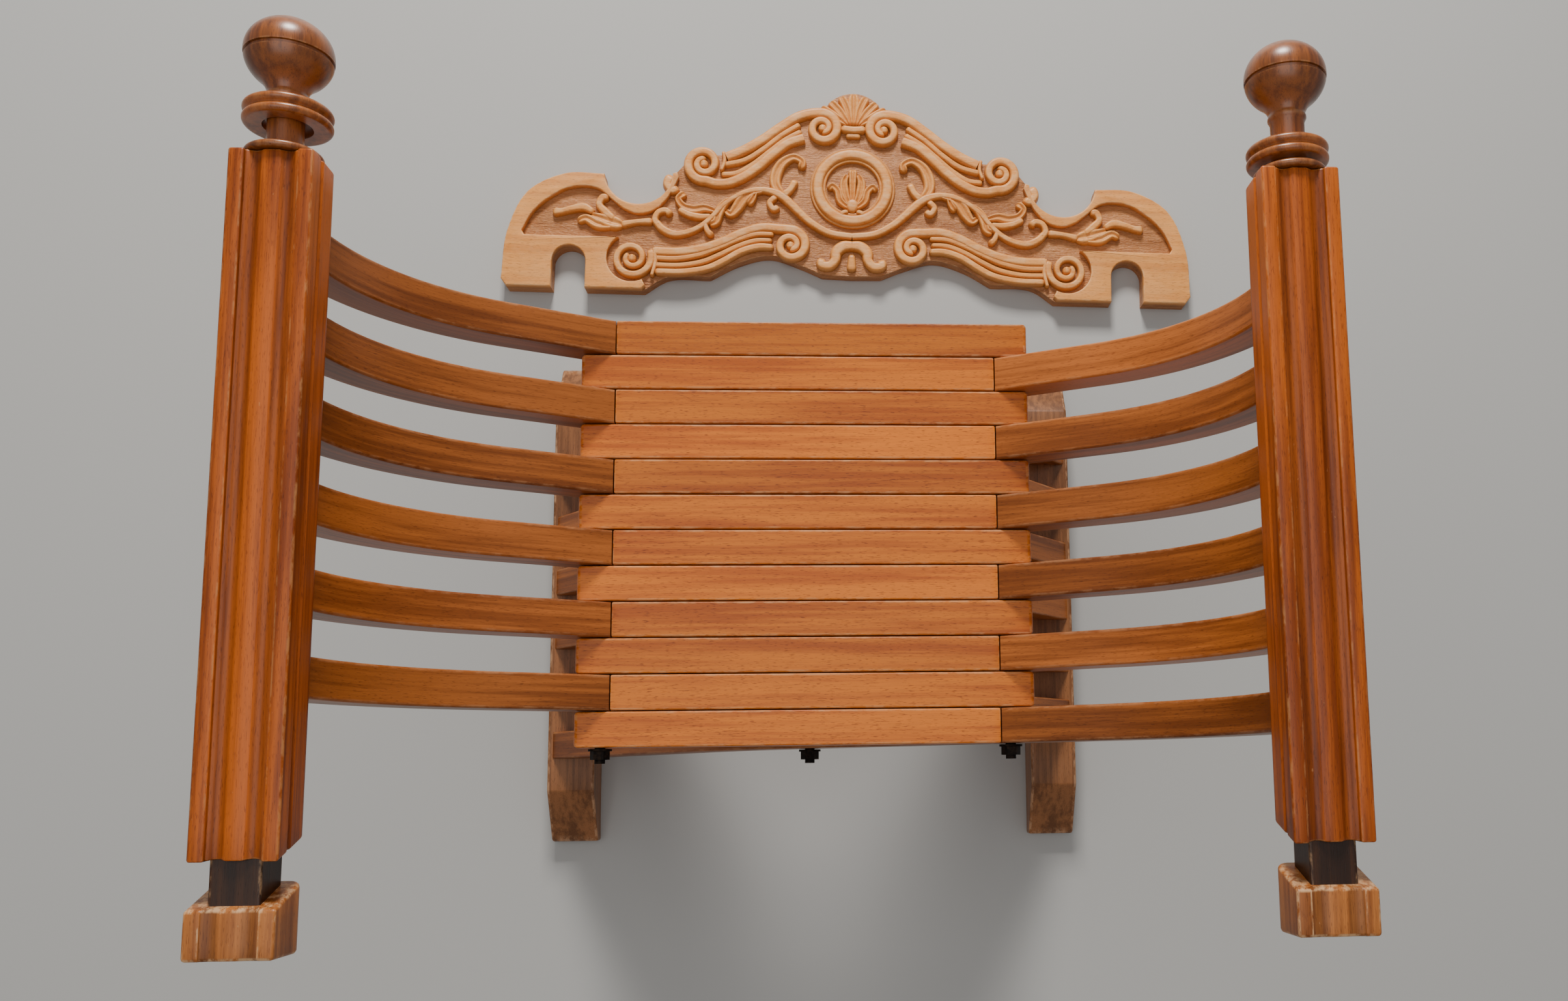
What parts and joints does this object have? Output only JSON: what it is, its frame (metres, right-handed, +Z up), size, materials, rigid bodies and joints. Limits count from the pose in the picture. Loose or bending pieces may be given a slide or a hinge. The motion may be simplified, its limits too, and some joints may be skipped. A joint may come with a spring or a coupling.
{
  "type": "folding armchair",
  "caption": "Folding X-frame slatted wooden armchair with turned finials, loose rings and a lift-off carved back board lying on the floor in front of it.",
  "frame": {"origin": "middle of the footprint on the floor, the loose back board counted in", "axes": "+Z up; the sitter faces -Y, so +X is the sitter's left; the back board lies towards -Y"},
  "size_m": [0.7772, 0.8722, 0.6545],
  "materials": {
    "arm_wood": "stained and varnished, satin",
    "slat_wood": "stained and varnished, satin",
    "seat_wood": "stained and varnished, satin",
    "runner_wood": "stained, worn",
    "carved_board": "carved, stained and varnished, satin",
    "steel": "tarnished, dark"
  },
  "bodies": {
    "back_board": {"carved_back_board": "carved_board"},
    "crossing": {"crossing_rod": "steel", "crossing_washer": "steel", "crossing_nut": "steel"},
    "left_frame": {"left_arm": "arm_wood", "left_end_block": "arm_wood", "left_finial": "arm_wood", "left_slat_1": "slat_wood", "left_slat_2": "slat_wood", "left_slat_3": "slat_wood", "left_slat_4": "slat_wood", "left_slat_5": "slat_wood", "left_slat_6": "slat_wood", "right_runner": "runner_wood", "left_hinge_rod": "steel", "left_hinge_washer": "steel", "left_hinge_nut": "steel"},
    "right_frame": {"right_arm": "arm_wood", "right_end_block": "arm_wood", "right_finial": "arm_wood", "right_slat_1": "slat_wood", "right_slat_2": "slat_wood", "right_slat_3": "slat_wood", "right_slat_4": "slat_wood", "right_slat_5": "slat_wood", "right_slat_6": "slat_wood", "left_runner": "runner_wood", "right_hinge_rod": "steel", "right_hinge_washer": "steel", "right_hinge_nut": "steel"},
    "left_collar": {"left_ring": "arm_wood"},
    "right_collar": {"right_ring": "arm_wood"},
    "board_01": {"seat_board_01": "seat_wood"},
    "board_02": {"seat_board_02": "seat_wood"},
    "board_03": {"seat_board_03": "seat_wood"},
    "board_04": {"seat_board_04": "seat_wood"},
    "board_05": {"seat_board_05": "seat_wood"},
    "board_06": {"seat_board_06": "seat_wood"},
    "board_07": {"seat_board_07": "seat_wood"},
    "board_08": {"seat_board_08": "seat_wood"},
    "board_09": {"seat_board_09": "seat_wood"},
    "board_10": {"seat_board_10": "seat_wood"},
    "board_11": {"seat_board_11": "seat_wood"},
    "board_12": {"seat_board_12": "seat_wood"}
  },
  "joints": [
    {"name": "crossing_rise", "type": "slide", "parent": "back_board", "child": "crossing", "axis": [0, 0, 1], "range_m": [0, 0.09]},
    {"name": "left_fold", "type": "hinge", "parent": "crossing", "child": "left_frame", "pos_m": [0.03313, 0.14215, 0.325], "axis": [0, -1, 0], "range_deg": [0, 28]},
    {"name": "right_fold", "type": "hinge", "parent": "crossing", "child": "right_frame", "pos_m": [0.03313, 0.14215, 0.325], "axis": [0, 1, 0], "range_deg": [0, 28]},
    {"name": "left_ring_slide", "type": "slide", "parent": "left_frame", "child": "left_collar", "axis": [0, -1, 0], "range_m": [-0.0185, 0.0025]},
    {"name": "right_ring_slide", "type": "slide", "parent": "right_frame", "child": "right_collar", "axis": [0, -1, 0], "range_m": [-0.0045, 0.0165]},
    {"name": "board_01_hinge", "type": "hinge", "parent": "right_frame", "child": "board_01", "pos_m": [-0.12487, 0.14215, 0.41258], "axis": [0, -1, 0], "range_deg": [0, 64.41]},
    {"name": "board_02_hinge", "type": "hinge", "parent": "left_frame", "child": "board_02", "pos_m": [0.19113, 0.14215, 0.41258], "axis": [0, 1, 0], "range_deg": [0, 64.41]},
    {"name": "board_03_hinge", "type": "hinge", "parent": "right_frame", "child": "board_03", "pos_m": [-0.12487, 0.14215, 0.41258], "axis": [0, -1, 0], "range_deg": [0, 64.41]},
    {"name": "board_04_hinge", "type": "hinge", "parent": "left_frame", "child": "board_04", "pos_m": [0.19113, 0.14215, 0.41258], "axis": [0, 1, 0], "range_deg": [0, 64.41]},
    {"name": "board_05_hinge", "type": "hinge", "parent": "right_frame", "child": "board_05", "pos_m": [-0.12487, 0.14215, 0.41258], "axis": [0, -1, 0], "range_deg": [0, 64.41]},
    {"name": "board_06_hinge", "type": "hinge", "parent": "left_frame", "child": "board_06", "pos_m": [0.19113, 0.14215, 0.41258], "axis": [0, 1, 0], "range_deg": [0, 64.41]},
    {"name": "board_07_hinge", "type": "hinge", "parent": "right_frame", "child": "board_07", "pos_m": [-0.12487, 0.14215, 0.41258], "axis": [0, -1, 0], "range_deg": [0, 64.41]},
    {"name": "board_08_hinge", "type": "hinge", "parent": "left_frame", "child": "board_08", "pos_m": [0.19113, 0.14215, 0.41258], "axis": [0, 1, 0], "range_deg": [0, 64.41]},
    {"name": "board_09_hinge", "type": "hinge", "parent": "right_frame", "child": "board_09", "pos_m": [-0.12487, 0.14215, 0.41258], "axis": [0, -1, 0], "range_deg": [0, 64.41]},
    {"name": "board_10_hinge", "type": "hinge", "parent": "left_frame", "child": "board_10", "pos_m": [0.19113, 0.14215, 0.41258], "axis": [0, 1, 0], "range_deg": [0, 64.41]},
    {"name": "board_11_hinge", "type": "hinge", "parent": "right_frame", "child": "board_11", "pos_m": [-0.12487, 0.14215, 0.41258], "axis": [0, -1, 0], "range_deg": [0, 64.41]},
    {"name": "board_12_hinge", "type": "hinge", "parent": "left_frame", "child": "board_12", "pos_m": [0.19113, 0.14215, 0.41258], "axis": [0, 1, 0], "range_deg": [0, 64.41]}
  ],
  "couplings": [
    {"joint": "crossing_rise", "follows": "left_fold", "m_per_rad": 0.18346},
    {"joint": "right_fold", "follows": "left_fold", "ratio": 1},
    {"joint": "board_01_hinge", "follows": "left_fold", "ratio": 2.3},
    {"joint": "board_02_hinge", "follows": "left_fold", "ratio": 2.3},
    {"joint": "board_03_hinge", "follows": "left_fold", "ratio": 2.3},
    {"joint": "board_04_hinge", "follows": "left_fold", "ratio": 2.3},
    {"joint": "board_05_hinge", "follows": "left_fold", "ratio": 2.3},
    {"joint": "board_06_hinge", "follows": "left_fold", "ratio": 2.3},
    {"joint": "board_07_hinge", "follows": "left_fold", "ratio": 2.3},
    {"joint": "board_08_hinge", "follows": "left_fold", "ratio": 2.3},
    {"joint": "board_09_hinge", "follows": "left_fold", "ratio": 2.3},
    {"joint": "board_10_hinge", "follows": "left_fold", "ratio": 2.3},
    {"joint": "board_11_hinge", "follows": "left_fold", "ratio": 2.3},
    {"joint": "board_12_hinge", "follows": "left_fold", "ratio": 2.3}
  ]
}
